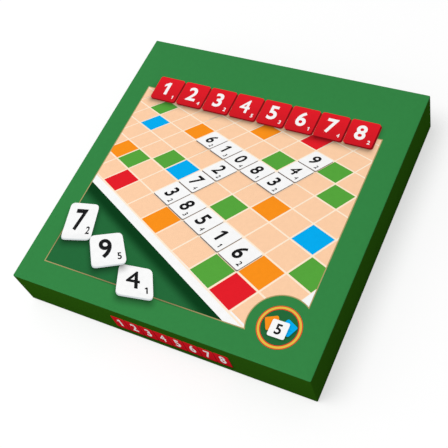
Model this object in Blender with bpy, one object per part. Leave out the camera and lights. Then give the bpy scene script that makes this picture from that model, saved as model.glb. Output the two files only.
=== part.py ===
"""Word board game in a square rigid box: a lift-off lid over a shallow tray.

Metres, +Z up, +Y to the back, origin at the middle of the underside. The lid and the tray are greyboard
shells with printed paper wrapped over them and turned in at the open edge. Inside the tray sits a formed
plastic insert with wells for the folded board and its rules sheet, the tile racks and the stacked tiles.
"""

import math

import bmesh
import bpy
from mathutils import Matrix, Vector

# Box, measured over the closed lid
BOX_WIDTH = 0.270
BOX_DEPTH = 0.270
BOX_HEIGHT = 0.0432
SKIRT_RAISE = 0.0012  # the lid stops this far above the table, so the tray shows under it
LID_CLEARANCE = 0.0007  # each side, between the lid's inner paper and the tray's outer paper

# Sheet materials and the gaps between pieces
GREYBOARD = 0.0016
PAPER = 0.0002
GLUE_GAP = 0.0002
SEAT_GAP = 0.0003
FOLD_RADIUS = 0.0007  # paper folded over a board edge
CORNER_RADIUS = 0.0010  # upright corners of the wrapped box
SHARP_RADIUS = 0.0002
LID_TURN_IN = 0.016
TRAY_TURN_IN = 0.014
UNDER_HEM = 0.015
BASE_SHEET_MARGIN = 0.004

# Formed insert
SHEET = 0.0006
INSERT_CLEARANCE = 0.0006
HEADROOM = 0.0048  # from the insert's flange up to the tray's rim
LIP_DROP = 0.008
FORM_RADIUS = 0.0012
STRIP = 0.0055  # flange left between two wells and beside the outer ones
WELL_RADIUS = 0.004
WELL_DRAFT = math.radians(2)
FOOT_DRAFT = math.radians(8)
FOOT_SIDE = 0.022
FOOT_CORNER_RADIUS = 0.009
FOOT_INSET = 0.030  # foot centre from the board well's sides
LOBE_WIDTH = 0.030
LOBE_REACH = 0.017
LOBE_TIP_RADIUS = 0.013
LOBE_ROOT_RADIUS = 0.0035
BOARD_LOBE_INSET = 0.0245  # lobe centre from the board well's left side
BOARD_WELL_DEPTH = 0.0125

# Playing board, folded in four. It takes the room that the other wells leave
PANEL = 0.0016
PANEL_EDGE = 0.0003
TAPE = 0.0003
TAPE_FLAP = 0.010
TAPE_SHORT = 0.003  # each end of a tape stops this far inside the panels' corners
BOARD_CLEARANCE = 0.0014

# Rules sheet, folded like a fan
RULES_SIDE_MARGIN = 0.0355  # board left bare beside the sheet
RULES_END_MARGIN = 0.014
RULES_PAPER = 0.00015
RULES_PITCH = 0.00045
RULES_LEAVES = 4
RULES_TURN = math.radians(8)

# Tile racks, as long as their well allows
RACK_WIDTH = 0.0288
RACK_HEIGHT = 0.0153
RACK_FRONT_SLOPE = 0.006
RACK_BACK_SLOPE = 0.002
RACK_SLOT_WIDTH = 0.006
RACK_SLOT_DEPTH = 0.0065
RACK_SLOT_SETBACK = 0.012  # middle of the slot's mouth from the rack's front foot
RACK_SLOT_TILT = math.radians(15)
RACK_EDGE = 0.0006
RACK_GAP = 0.0006
RACK_COLUMNS = 2

# Letter tiles
TILE = 0.019
TILE_THICKNESS = 0.0045
TILE_RADIUS = 0.002
TILE_EDGE = 0.0005
TILE_GAP = 0.0006
TILE_ROWS = 3
DEEP_CLEARANCE = 0.0008  # each side of the racks and the tiles, at the foot of their wells

ARC_STEPS = 3
TILE_ARC_STEPS = 2
FILLET_STEPS = 2

# Sizes that follow from those above
WALL = GREYBOARD + 2 * (PAPER + GLUE_GAP)
SKIN = PAPER + GLUE_GAP
TRAY_WIDTH = BOX_WIDTH - 2 * (WALL + LID_CLEARANCE)
TRAY_DEPTH = BOX_DEPTH - 2 * (WALL + LID_CLEARANCE)
LID_UNDERSIDE = BOX_HEIGHT - SKIN - GREYBOARD
TRAY_RIM = LID_UNDERSIDE - SEAT_GAP
HEM_BOTTOM = PAPER + GLUE_GAP
TRAY_BOARD_BOTTOM = HEM_BOTTOM + SKIN
TRAY_FLOOR = TRAY_BOARD_BOTTOM + GREYBOARD
INSERT_WIDTH = TRAY_WIDTH - 2 * (WALL + INSERT_CLEARANCE)
INSERT_DEPTH = TRAY_DEPTH - 2 * (WALL + INSERT_CLEARANCE)
INSERT_TOP = TRAY_RIM - HEADROOM
DEEP_FLOOR = TRAY_FLOOR + SEAT_GAP + SHEET
BOARD_FLOOR = INSERT_TOP - BOARD_WELL_DEPTH


def draft_run(depth, draft):
    """How far a well's wall leans in over its straight height."""
    return (depth - 2 * FORM_RADIUS) * math.tan(draft)


DEEP_RUN = draft_run(INSERT_TOP - DEEP_FLOOR, WELL_DRAFT)
DEEP_EASE = 2 * (DEEP_CLEARANCE + DEEP_RUN)
BOARD_EASE = 2 * (BOARD_CLEARANCE + draft_run(BOARD_WELL_DEPTH, WELL_DRAFT))
TILE_PITCH = TILE + TILE_GAP
RACK_PITCH = RACK_WIDTH + RACK_GAP
RACK_WELL_WIDTH = RACK_COLUMNS * RACK_PITCH - RACK_GAP + DEEP_EASE
TILE_WELL_DEPTH = TILE_ROWS * TILE_PITCH - TILE_GAP + DEEP_EASE
BOARD_WELL_X = INSERT_WIDTH - 3 * STRIP - RACK_WELL_WIDTH
BOARD_WELL_Y = INSERT_DEPTH - 3 * STRIP - TILE_WELL_DEPTH
PANEL_WIDTH = BOARD_WELL_X - BOARD_EASE
PANEL_DEPTH = BOARD_WELL_Y - BOARD_EASE
RULES_WIDTH = PANEL_WIDTH - 2 * RULES_SIDE_MARGIN
RULES_LENGTH = PANEL_DEPTH - 2 * RULES_END_MARGIN
RACK_LENGTH = BOARD_WELL_Y - DEEP_EASE
RACK_LAYERS = int((INSERT_TOP - DEEP_FLOOR) / (RACK_HEIGHT + SEAT_GAP))
TILES_HIGH = int((INSERT_TOP - DEEP_FLOOR - SEAT_GAP) / TILE_THICKNESS)

# Places of the wells, and the row of tiles that fits between the finger lobes of its neighbours
BOARD_X = -INSERT_WIDTH / 2 + STRIP + BOARD_WELL_X / 2
BOARD_Y = INSERT_DEPTH / 2 - STRIP - BOARD_WELL_Y / 2
RACK_X = INSERT_WIDTH / 2 - STRIP - RACK_WELL_WIDTH / 2
TILE_Y = -INSERT_DEPTH / 2 + STRIP + TILE_WELL_DEPTH / 2
BOARD_LOBE_X = BOARD_X - BOARD_WELL_X / 2 + BOARD_LOBE_INSET
TILE_X = (BOARD_LOBE_X + RACK_X) / 2
LOBE_ROOM = LOBE_WIDTH + 2 * (LOBE_ROOT_RADIUS + LOBE_REACH + STRIP)
TILE_COLUMNS = int((RACK_X - BOARD_LOBE_X - LOBE_ROOM - DEEP_EASE + TILE_GAP) / TILE_PITCH)
TILE_WELL_WIDTH = TILE_COLUMNS * TILE_PITCH - TILE_GAP + DEEP_EASE


def material(name, colour, roughness, metallic=0.0):
    """Plain Principled material of one piece."""
    made = bpy.data.materials.new(name)
    made.use_nodes = True
    shader = made.node_tree.nodes["Principled BSDF"]
    shader.inputs["Base Color"].default_value = (*colour, 1.0)
    shader.inputs["Roughness"].default_value = roughness
    shader.inputs["Metallic"].default_value = metallic
    made.diffuse_color = (*colour, 1.0)
    return made


def carrier(name, height, parent=None):
    """Empty on the box's middle line that carries the pieces of one body."""
    empty = bpy.data.objects.new(name, None)
    bpy.context.scene.collection.objects.link(empty)
    empty.location = (0, 0, height)
    if parent:
        empty.parent = parent
        empty.location.z -= parent["height"]
    empty["height"] = height
    return empty


def place(name, mesh, body, position, turn=0.0):
    """Object that shows a mesh at a position given from the box's origin."""
    made = bpy.data.objects.new(name, mesh)
    bpy.context.scene.collection.objects.link(made)
    made.parent = body
    made.location = Vector(position) - Vector((0, 0, body["height"]))
    made.rotation_euler.z = turn
    return made


def to_mesh(name, bm, finish):
    """Mesh made from a bmesh, with its material."""
    mesh = bpy.data.meshes.new(name)
    bm.to_mesh(mesh)
    bm.free()
    mesh.materials.append(finish)
    return mesh


def rectangle(width, depth, radius, centre=(0, 0)):
    """Anticlockwise corners, each with its fillet radius."""
    x, y = centre
    signs = ((-1, -1), (1, -1), (1, 1), (-1, 1))
    return [(x + sx * width / 2, y + sy * depth / 2, radius) for sx, sy in signs]


def add_lobe(corners, side, middle):
    """Outline with a finger lobe pushed out of the side that starts at a corner, level with a middle point."""
    start = Vector(corners[side][:2])
    end = Vector(corners[(side + 1) % 4][:2])
    along = (end - start).normalized()
    out = Vector((along.y, -along.x))
    root = start + along * along.dot(Vector(middle) - start)
    half = along * LOBE_WIDTH / 2
    reach = out * LOBE_REACH
    lobe = [
        (*(root - half), LOBE_ROOT_RADIUS),
        (*(root - half + reach), LOBE_TIP_RADIUS),
        (*(root + half + reach), LOBE_TIP_RADIUS),
        (*(root + half), LOBE_ROOT_RADIUS),
    ]
    return corners[: side + 1] + lobe + corners[side + 1 :]


def fillet(before, corner, after, inset, steps):
    """Points of one filleted corner of an outline that is drawn in by inset."""
    point = Vector(corner[:2])
    incoming = (point - Vector(before[:2])).normalized()
    outgoing = (Vector(after[:2]) - point).normalized()
    left_in = Vector((-incoming.y, incoming.x))
    left_out = Vector((-outgoing.y, outgoing.x))
    point += (left_in + left_out) * inset / (1 + left_in.dot(left_out))
    side = 1 if incoming.cross(outgoing) > 0 else -1
    radius = max(corner[2] - side * inset, SHARP_RADIUS)
    angle = incoming.angle(outgoing)
    centre = point - incoming * radius * math.tan(angle / 2) + left_in * side * radius
    arm = -left_in * side * radius
    return [centre + Matrix.Rotation(side * angle * k / steps, 2) @ arm for k in range(steps + 1)]


def add_ring(bm, corners, inset, z, steps=ARC_STEPS):
    """Closed ring of vertices along an outline drawn in by inset."""
    count = len(corners)
    ring = []
    for i, corner in enumerate(corners):
        arc = fillet(corners[i - 1], corner, corners[(i + 1) % count], inset, steps)
        ring += [bm.verts.new((p.x, p.y, z)) for p in arc]
    return ring


def add_bands(bm, rings):
    """Skins between rings that follow each other."""
    for lower, upper in zip(rings, rings[1:]):
        for i in range(len(lower)):
            bm.faces.new((lower[i - 1], lower[i], upper[i], upper[i - 1]))


def ring_edges(bm, ring):
    """Edges round a ring."""
    return [bm.edges.get((ring[i - 1], ring[i])) for i in range(len(ring))]


def lofted(name, corners, levels, finish, steps=ARC_STEPS, looped=False):
    """Closed body over rings given as (inset, height): capped at both ends, or looped back on itself."""
    bm = bmesh.new()
    rings = [add_ring(bm, corners, inset, z, steps) for inset, z in levels]
    if looped:
        rings.append(rings[0])
    add_bands(bm, rings)
    if not looped:
        bm.faces.new(rings[0])
        bm.faces.new(rings[-1])
    bmesh.ops.recalc_face_normals(bm, faces=bm.faces)
    return to_mesh(name, bm, finish)


def quarter(inset, z, radius, run, rise, steps=FILLET_STEPS):
    """Levels round a quarter circle that starts upright and ends level."""
    angles = [math.pi / 2 * k / steps for k in range(steps + 1)]
    return [
        (inset + run * radius * (1 - math.cos(a)), z + rise * radius * math.sin(a)) for a in angles
    ]


def lid_wrap_levels():
    """Printed paper over the lid: top, folded edge, skirt, hem under the board's edge and turn-in."""
    low = SKIRT_RAISE
    turned = WALL - PAPER
    outside = quarter(0, BOX_HEIGHT - FOLD_RADIUS, FOLD_RADIUS, 1, 1)[::-1]
    hem = quarter(0, low + FOLD_RADIUS, FOLD_RADIUS, 1, -1)
    rise = quarter(WALL, low + FOLD_RADIUS, FOLD_RADIUS, -1, -1)[::-1]
    inside = [
        (WALL, low + LID_TURN_IN),
        (turned, low + LID_TURN_IN),
        (turned, low + PAPER),
        (PAPER, low + PAPER),
        (PAPER, BOX_HEIGHT - PAPER),
    ]
    return outside + hem + rise + inside


def lid_board_levels():
    """Greyboard of the lid, open below."""
    low = SKIRT_RAISE + SKIN
    inner = SKIN + GREYBOARD
    return [(SKIN, BOX_HEIGHT - SKIN), (SKIN, low), (inner, low), (inner, LID_UNDERSIDE)]


def tray_wrap_levels():
    """Paper round the tray: hem under the base, wall, fold over the rim and turn-in."""
    low = HEM_BOTTOM
    turned = WALL - PAPER
    outside = quarter(0, low + FOLD_RADIUS, FOLD_RADIUS, 1, -1)[::-1]
    rim = quarter(0, TRAY_RIM - FOLD_RADIUS, FOLD_RADIUS, 1, 1)
    inner_rim = quarter(WALL, TRAY_RIM - FOLD_RADIUS, FOLD_RADIUS, -1, 1)[::-1]
    inside = [
        (WALL, TRAY_RIM - TRAY_TURN_IN),
        (turned, TRAY_RIM - TRAY_TURN_IN),
        (turned, TRAY_RIM - PAPER),
        (PAPER, TRAY_RIM - PAPER),
        (PAPER, low + PAPER),
        (UNDER_HEM, low + PAPER),
    ]
    return [(UNDER_HEM, low)] + outside + rim + inner_rim + inside


def tray_board_levels():
    """Greyboard of the tray, open above."""
    high = TRAY_RIM - SKIN
    inner = SKIN + GREYBOARD
    return [(SKIN, TRAY_BOARD_BOTTOM), (SKIN, high), (inner, high), (inner, TRAY_FLOOR)]


def well_levels(top, floor, draft):
    """Rings down a drafted well, rounded into the sheet above it and into its own floor."""
    run = draft_run(top - floor, draft)
    mouth = quarter(0, top - FORM_RADIUS, FORM_RADIUS, -1, 1)[::-1]
    root = quarter(run, floor + FORM_RADIUS, FORM_RADIUS, 1, -1)
    return mouth + root


def lip_levels():
    """Rings up the turned-down lip at the insert's outer edge."""
    lean = (LIP_DROP - FORM_RADIUS) * math.tan(WELL_DRAFT)
    return [(0, INSERT_TOP - LIP_DROP)] + quarter(lean, INSERT_TOP - FORM_RADIUS, FORM_RADIUS, 1, 1)


def well_outlines():
    """Outlines of the board, rack and tile wells with their finger lobes."""
    board = rectangle(BOARD_WELL_X, BOARD_WELL_Y, WELL_RADIUS, (BOARD_X, BOARD_Y))
    rack = rectangle(RACK_WELL_WIDTH, BOARD_WELL_Y, WELL_RADIUS, (RACK_X, BOARD_Y))
    tile = rectangle(TILE_WELL_WIDTH, TILE_WELL_DEPTH, WELL_RADIUS, (TILE_X, TILE_Y))
    tile = add_lobe(tile, 3, (TILE_X, TILE_Y))
    tile = add_lobe(tile, 1, (TILE_X, TILE_Y))
    return add_lobe(board, 0, (BOARD_LOBE_X, 0)), add_lobe(rack, 0, (RACK_X, 0)), tile


def add_well(bm, corners, top, floor, draft):
    """Walls of one well. Returns its mouth ring and its floor ring."""
    rings = [add_ring(bm, corners, inset, z) for inset, z in well_levels(top, floor, draft)]
    add_bands(bm, rings)
    return rings[0], rings[-1]


def foot_outline(sx, sy):
    """Round outline of a hollow foot in the board well's floor."""
    x = BOARD_X + sx * (BOARD_WELL_X / 2 - FOOT_INSET)
    y = BOARD_Y + sy * (BOARD_WELL_Y / 2 - FOOT_INSET)
    return rectangle(FOOT_SIDE, FOOT_SIDE, FOOT_CORNER_RADIUS, (x, y))


def insert_mesh(finish):
    """Formed sheet: flange, lip, three wells and four feet that stand on the tray's floor."""
    bm = bmesh.new()
    outer = rectangle(INSERT_WIDTH, INSERT_DEPTH, WELL_RADIUS)
    lip = [add_ring(bm, outer, inset, z) for inset, z in lip_levels()]
    add_bands(bm, lip)
    board, rack, tile = well_outlines()
    board_mouth, board_base = add_well(bm, board, INSERT_TOP, BOARD_FLOOR, WELL_DRAFT)
    rack_mouth, rack_base = add_well(bm, rack, INSERT_TOP, DEEP_FLOOR, WELL_DRAFT)
    tile_mouth, tile_base = add_well(bm, tile, INSERT_TOP, DEEP_FLOOR, WELL_DRAFT)
    flange = [lip[-1], board_mouth, rack_mouth, tile_mouth]
    platform = [board_base]
    for sx, sy in ((-1, -1), (1, -1), (1, 1), (-1, 1)):
        mouth, base = add_well(bm, foot_outline(sx, sy), BOARD_FLOOR, DEEP_FLOOR, FOOT_DRAFT)
        platform.append(mouth)
        bm.faces.new(base)
    bm.faces.new(rack_base)
    bm.faces.new(tile_base)
    for level in (flange, platform):
        edges = [edge for ring in level for edge in ring_edges(bm, ring)]
        bmesh.ops.triangle_fill(bm, use_beauty=True, edges=edges)
    bmesh.ops.recalc_face_normals(bm, faces=bm.faces)
    highest = max(bm.faces, key=lambda face: face.calc_center_median().z)
    if highest.normal.z < 0:
        bmesh.ops.reverse_faces(bm, faces=bm.faces)
    return to_mesh("insert", bm, finish)


def add_insert(body, finish):
    """The insert, thickened downward from its upper surface."""
    made = place("insert", insert_mesh(finish), body, (0, 0, 0))
    sheet = made.modifiers.new("sheet", "SOLIDIFY")
    sheet.thickness = SHEET
    sheet.offset = -1
    sheet.use_even_offset = True
    made.data.shade_smooth()
    made.data.set_sharp_from_angle(angle=math.radians(50))
    return made


def bevel(made, width, segments=1):
    """Rounded or broken edges all round a piece."""
    edge = made.modifiers.new("edges", "BEVEL")
    edge.width = width
    edge.segments = segments
    edge.limit_method = "ANGLE"


def slab_mesh(name, width, depth, height, finish):
    """Plate that stands on its origin."""
    bm = bmesh.new()
    bmesh.ops.create_cube(bm, size=1)
    bmesh.ops.scale(bm, vec=(width, depth, height), verts=bm.verts)
    bmesh.ops.translate(bm, vec=(0, 0, height / 2), verts=bm.verts)
    return to_mesh(name, bm, finish)


def extruded_mesh(name, profile, length, finish):
    """Profile in the XZ plane, extruded along Y about its middle."""
    bm = bmesh.new()
    face = bm.faces.new([bm.verts.new((x, -length / 2, z)) for x, z in profile])
    pushed = bmesh.ops.extrude_face_region(bm, geom=[face])["geom"]
    verts = [item for item in pushed if isinstance(item, bmesh.types.BMVert)]
    bmesh.ops.translate(bm, vec=(0, length, 0), verts=verts)
    bmesh.ops.recalc_face_normals(bm, faces=bm.faces)
    return to_mesh(name, bm, finish)


def strip_mesh(name, path, length, finish):
    """Open sheet that follows a path in the XZ plane and runs along Y about its middle."""
    bm = bmesh.new()
    verts = [bm.verts.new((x, -length / 2, z)) for x, z in path]
    edges = [bm.edges.new(pair) for pair in zip(verts, verts[1:])]
    pushed = bmesh.ops.extrude_edge_only(bm, edges=edges)["geom"]
    far = [item for item in pushed if isinstance(item, bmesh.types.BMVert)]
    bmesh.ops.translate(bm, vec=(0, length, 0), verts=far)
    bmesh.ops.recalc_face_normals(bm, faces=bm.faces)
    return to_mesh(name, bm, finish)


def thicken(made, thickness):
    """Sheet given its thickness evenly on both sides."""
    sheet = made.modifiers.new("sheet", "SOLIDIFY")
    sheet.thickness = thickness
    sheet.offset = 0
    sheet.use_even_offset = True


def panel_heights():
    """Undersides of the four board panels, from the lowest. Tapes lie between them where they fold."""
    one_tape = TAPE + 2 * GLUE_GAP
    two_tapes = 2 * TAPE + 3 * GLUE_GAP
    heights = [BOARD_FLOOR + SEAT_GAP + TAPE + GLUE_GAP]
    for gap in (one_tape, two_tapes, one_tape):
        heights.append(heights[-1] + PANEL + gap)
    return heights


def add_board(body, board_finish, tape_finish):
    """Playing board folded in four, with three cloth tape hinges. Returns the height of its top."""
    mesh = slab_mesh("board_panel", PANEL_WIDTH, PANEL_DEPTH, PANEL, board_finish)
    heights = panel_heights()
    for i, height in enumerate(heights):
        panel = place(f"board_panel_{i + 1}", mesh, body, (BOARD_X, BOARD_Y, height))
        bevel(panel, PANEL_EDGE)
    stand = GLUE_GAP + TAPE / 2
    beside = (PANEL_WIDTH / 2, PANEL_DEPTH - 2 * TAPE_SHORT, 0)
    behind = (PANEL_DEPTH / 2, PANEL_WIDTH - 2 * TAPE_SHORT, math.pi / 2)
    for i, (edge, length, turn) in enumerate((beside, behind, beside)):
        bottom = heights[i] - stand
        rise = heights[i + 1] + PANEL + stand - bottom
        path = [(edge - TAPE_FLAP, 0), (edge + stand, 0), (edge + stand, rise), (edge - TAPE_FLAP, rise)]
        mesh = strip_mesh(f"board_hinge_{i + 1}", path, length, tape_finish)
        hinge = place(f"board_hinge_{i + 1}", mesh, body, (BOARD_X, BOARD_Y, bottom), turn)
        thicken(hinge, TAPE)
    return heights[-1] + PANEL + GLUE_GAP + TAPE


def add_rules(body, top, finish):
    """Rules sheet folded like a fan, lying on the folded board."""
    half = RULES_WIDTH / 2
    path = []
    for leaf in range(RULES_LEAVES):
        side = 1 if leaf % 2 else -1
        path += [(side * half, leaf * RULES_PITCH), (-side * half, leaf * RULES_PITCH)]
    mesh = strip_mesh("rules_sheet", path, RULES_LENGTH, finish)
    height = top + SEAT_GAP + RULES_PAPER / 2
    made = place("rules_sheet", mesh, body, (BOARD_X, BOARD_Y, height), RULES_TURN)
    thicken(made, RULES_PAPER)


def rack_profile():
    """Bar with leaning front and back and a slot that tilts a row of tiles back."""
    half_mouth = RACK_SLOT_WIDTH / math.cos(RACK_SLOT_TILT) / 2
    lean = RACK_SLOT_DEPTH * math.tan(RACK_SLOT_TILT)
    front = -RACK_WIDTH / 2
    slot = front + RACK_SLOT_SETBACK
    floor = RACK_HEIGHT - RACK_SLOT_DEPTH
    return [
        (front, 0),
        (-front, 0),
        (-front - RACK_BACK_SLOPE, RACK_HEIGHT),
        (slot + half_mouth, RACK_HEIGHT),
        (slot + half_mouth - lean, floor),
        (slot - half_mouth - lean, floor),
        (slot - half_mouth, RACK_HEIGHT),
        (front + RACK_FRONT_SLOPE, RACK_HEIGHT),
    ]


def add_racks(body, finish):
    """Tile racks, side by side and in layers."""
    mesh = extruded_mesh("rack", rack_profile(), RACK_LENGTH, finish)
    for i in range(RACK_COLUMNS * RACK_LAYERS):
        layer, column = divmod(i, RACK_COLUMNS)
        x = RACK_X + (column - (RACK_COLUMNS - 1) / 2) * RACK_PITCH
        z = DEEP_FLOOR + SEAT_GAP + layer * (RACK_HEIGHT + SEAT_GAP)
        bevel(place(f"rack_{i + 1}", mesh, body, (x, BOARD_Y, z)), RACK_EDGE)


def tile_stack_mesh(finish):
    """Stack of tiles with rounded corners and a groove where two tiles meet."""
    levels = []
    for i in range(TILES_HIGH):
        base = i * TILE_THICKNESS
        levels += [(TILE_EDGE, base), (0, base + TILE_EDGE), (0, base + TILE_THICKNESS - TILE_EDGE)]
    levels.append((TILE_EDGE, TILES_HIGH * TILE_THICKNESS))
    return lofted("tile_stack", rectangle(TILE, TILE, TILE_RADIUS), levels, finish, TILE_ARC_STEPS)


def add_tiles(body, finish):
    """Stacks of tiles in rows and columns."""
    mesh = tile_stack_mesh(finish)
    for i in range(TILE_COLUMNS * TILE_ROWS):
        row, column = divmod(i, TILE_COLUMNS)
        x = TILE_X + (column - (TILE_COLUMNS - 1) / 2) * TILE_PITCH
        y = TILE_Y + (row - (TILE_ROWS - 1) / 2) * TILE_PITCH
        place(f"tile_stack_{i + 1:02d}", mesh, body, (x, y, DEEP_FLOOR + SEAT_GAP))


def add_tray(body, greyboard, paper):
    """Tray: greyboard, wrap and the sheet that covers the underside."""
    outline = rectangle(TRAY_WIDTH, TRAY_DEPTH, CORNER_RADIUS)
    mesh = lofted("tray_board", outline, tray_board_levels(), greyboard)
    place("tray_board", mesh, body, (0, 0, 0))
    mesh = lofted("tray_wrap", outline, tray_wrap_levels(), paper, looped=True)
    place("tray_wrap", mesh, body, (0, 0, 0))
    margin = BASE_SHEET_MARGIN
    mesh = lofted("tray_base_sheet", outline, [(margin, 0), (margin, PAPER)], paper)
    place("tray_base_sheet", mesh, body, (0, 0, 0))


def add_lid(body, greyboard, print_paper):
    """Lid: greyboard and printed wrap."""
    outline = rectangle(BOX_WIDTH, BOX_DEPTH, CORNER_RADIUS)
    mesh = lofted("lid_board", outline, lid_board_levels(), greyboard)
    place("lid_board", mesh, body, (0, 0, 0))
    mesh = lofted("lid_wrap", outline, lid_wrap_levels(), print_paper)
    place("lid_wrap", mesh, body, (0, 0, 0))


def build():
    """The whole game, closed, one carrier for each body."""
    for old in list(bpy.data.objects):
        bpy.data.objects.remove(old, do_unlink=True)
    greyboard = material("greyboard", (0.42, 0.40, 0.37), 0.9)
    green_print = material("green_print", (0.05, 0.23, 0.06), 0.35)
    pale_paper = material("pale_paper", (0.70, 0.70, 0.68), 0.6)
    white_plastic = material("white_plastic", (0.82, 0.82, 0.78), 0.3)
    rack_plastic = material("rack_plastic", (0.04, 0.20, 0.06), 0.35)
    tile_plastic = material("tile_plastic", (0.85, 0.84, 0.78), 0.3)
    board_print = material("board_print", (0.80, 0.55, 0.35), 0.5)
    cloth_tape = material("cloth_tape", (0.05, 0.05, 0.05), 0.8)
    rules_paper = material("rules_paper", (0.80, 0.80, 0.78), 0.7)
    tray = carrier("tray", 0)
    insert = carrier("insert_carrier", TRAY_FLOOR, tray)
    board = carrier("board_carrier", BOARD_FLOOR, insert)
    lid = carrier("lid_carrier", TRAY_RIM, board)
    add_tray(tray, greyboard, pale_paper)
    add_insert(insert, white_plastic)
    add_racks(insert, rack_plastic)
    add_tiles(insert, tile_plastic)
    top = add_board(board, board_print, cloth_tape)
    add_rules(board, top, rules_paper)
    add_lid(lid, greyboard, green_print)


build()
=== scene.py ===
"""Looks of the word board game: print, paper, plastic, floor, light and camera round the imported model."""

import math

import bmesh
import bpy
import numpy as np
from mathutils import Matrix, Vector
from mathutils.geometry import delaunay_2d_cdt


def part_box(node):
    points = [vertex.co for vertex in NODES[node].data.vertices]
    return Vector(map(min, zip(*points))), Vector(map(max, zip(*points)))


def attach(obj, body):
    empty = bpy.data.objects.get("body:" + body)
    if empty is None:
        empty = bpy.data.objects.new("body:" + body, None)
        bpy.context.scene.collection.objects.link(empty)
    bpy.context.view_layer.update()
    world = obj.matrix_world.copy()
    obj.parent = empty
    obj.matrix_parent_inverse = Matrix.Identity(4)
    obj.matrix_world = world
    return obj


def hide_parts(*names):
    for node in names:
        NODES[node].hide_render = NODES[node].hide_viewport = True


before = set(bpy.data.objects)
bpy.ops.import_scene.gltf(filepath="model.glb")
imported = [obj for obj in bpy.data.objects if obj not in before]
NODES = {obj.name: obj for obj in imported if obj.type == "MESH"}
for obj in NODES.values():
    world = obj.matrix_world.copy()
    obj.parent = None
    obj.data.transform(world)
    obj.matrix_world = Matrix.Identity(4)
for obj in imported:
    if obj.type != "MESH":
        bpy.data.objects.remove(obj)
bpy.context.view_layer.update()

# ---------------------------------------------------------------- sizes read from the frame
LID_LOW, LID_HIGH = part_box("lid_wrap")
LID_WIDTH = LID_HIGH[0] - LID_LOW[0]
LID_TOP = LID_HIGH[2]
SKIRT_FOOT = LID_LOW[2]
UNIT = LID_WIDTH / 1000  # the print on the lid is laid out in thousandths of its width


def srgb(r, g, b):
    """Linear colour of three 0 to 255 values."""
    out = []
    for value in (r, g, b):
        c = value / 255
        out.append(c / 12.92 if c <= 0.04045 else ((c + 0.055) / 1.055) ** 2.4)
    return tuple(out)


# ---------------------------------------------------------------- objects
def link(name, data):
    """New object with some data, in the scene."""
    made = bpy.data.objects.new(name, data)
    bpy.context.scene.collection.objects.link(made)
    return made


def to_object(bm, name, materials):
    """New object from a bmesh, which is freed."""
    mesh = bpy.data.meshes.new(name)
    bm.to_mesh(mesh)
    bm.free()
    for material in materials:
        mesh.materials.append(material)
    return link(name, mesh)


def remove_loose(bm, verts):
    """Removes those of some vertices that no face uses."""
    for vert in verts:
        if not vert.link_faces:
            bm.verts.remove(vert)


# ---------------------------------------------------------------- node helpers
class Nodes:
    """Short ways to add nodes to a tree."""

    def __init__(self, tree):
        self.tree = tree
        self.place = None

    def add(self, kind, **values):
        node = self.tree.nodes.new(kind)
        for key, value in values.items():
            setattr(node, key, value)
        return node

    def feed(self, socket, value):
        """Links an output into a socket, or sets it."""
        if isinstance(value, bpy.types.NodeSocket):
            self.tree.links.new(value, socket)
        elif isinstance(value, tuple) and len(value) == 3 and socket.type == "RGBA":
            socket.default_value = (*value, 1)
        else:
            socket.default_value = value

    def where(self):
        """The piece's own coordinates, in metres."""
        if self.place is None:
            self.place = self.add("ShaderNodeTexCoord").outputs["Object"]
        return self.place

    def stretched(self, scale):
        """The piece's own coordinates, scaled along each axis."""
        node = self.add("ShaderNodeMapping")
        self.feed(node.inputs["Vector"], self.where())
        node.inputs["Scale"].default_value = scale
        return node.outputs["Vector"]

    def noise(self, scale, detail, rough, distortion=0.0, where=None):
        node = self.add("ShaderNodeTexNoise")
        self.feed(node.inputs["Vector"], where or self.where())
        node.inputs["Scale"].default_value = scale
        node.inputs["Detail"].default_value = detail
        node.inputs["Roughness"].default_value = rough
        node.inputs["Distortion"].default_value = distortion
        return node.outputs["Fac"]

    def clouds(self, scale, to_low=0.0, to_high=1.0, detail=3, rough=0.6):
        """Soft noise that fills a span of values."""
        return self.spread(self.noise(scale, detail, rough), 0.3, 0.7, to_low, to_high)

    def cells(self, scale):
        node = self.add("ShaderNodeTexVoronoi", feature="F1")
        self.feed(node.inputs["Vector"], self.where())
        node.inputs["Scale"].default_value = scale
        return node.outputs["Distance"]

    def math(self, operation, a, b=0.0):
        node = self.add("ShaderNodeMath", operation=operation)
        self.feed(node.inputs[0], a)
        self.feed(node.inputs[1], b)
        return node.outputs[0]

    def spread(self, value, low, high, to_low=0.0, to_high=1.0):
        """Value from low to high mapped to another span, smooth and held at its ends."""
        node = self.add("ShaderNodeMapRange", interpolation_type="SMOOTHSTEP")
        for key, number in zip(("Value", "From Min", "From Max", "To Min", "To Max"),
                               (value, low, high, to_low, to_high)):
            self.feed(node.inputs[key], number)
        return node.outputs["Result"]

    def strip(self, value, middle, half, soft=0.0002):
        """1 where a value is within half of a middle, 0 elsewhere, soft at the edges."""
        away = self.math("ABSOLUTE", self.math("SUBTRACT", value, middle))
        return self.spread(away, half - soft, half + soft, 1, 0)

    def mix(self, factor, a, b, blend="MIX"):
        node = self.add("ShaderNodeMix", data_type="RGBA", blend_type=blend)
        node.clamp_factor = True
        self.feed(node.inputs["Factor"], factor)
        self.feed(node.inputs[6], a)  # the first two colour sockets
        self.feed(node.inputs[7], b)
        return node.outputs[2]

    def axis(self, name, vector=None):
        node = self.add("ShaderNodeSeparateXYZ")
        self.feed(node.inputs[0], vector or self.where())
        return node.outputs[name]

    def seen(self):
        """1 for camera, glossy and transmission rays, 0 for those that carry soft light."""
        rays = self.add("ShaderNodeLightPath").outputs
        shown = self.math("MAXIMUM", rays["Is Camera Ray"], rays["Is Glossy Ray"])
        return self.math("MAXIMUM", shown, rays["Is Transmission Ray"])


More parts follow.
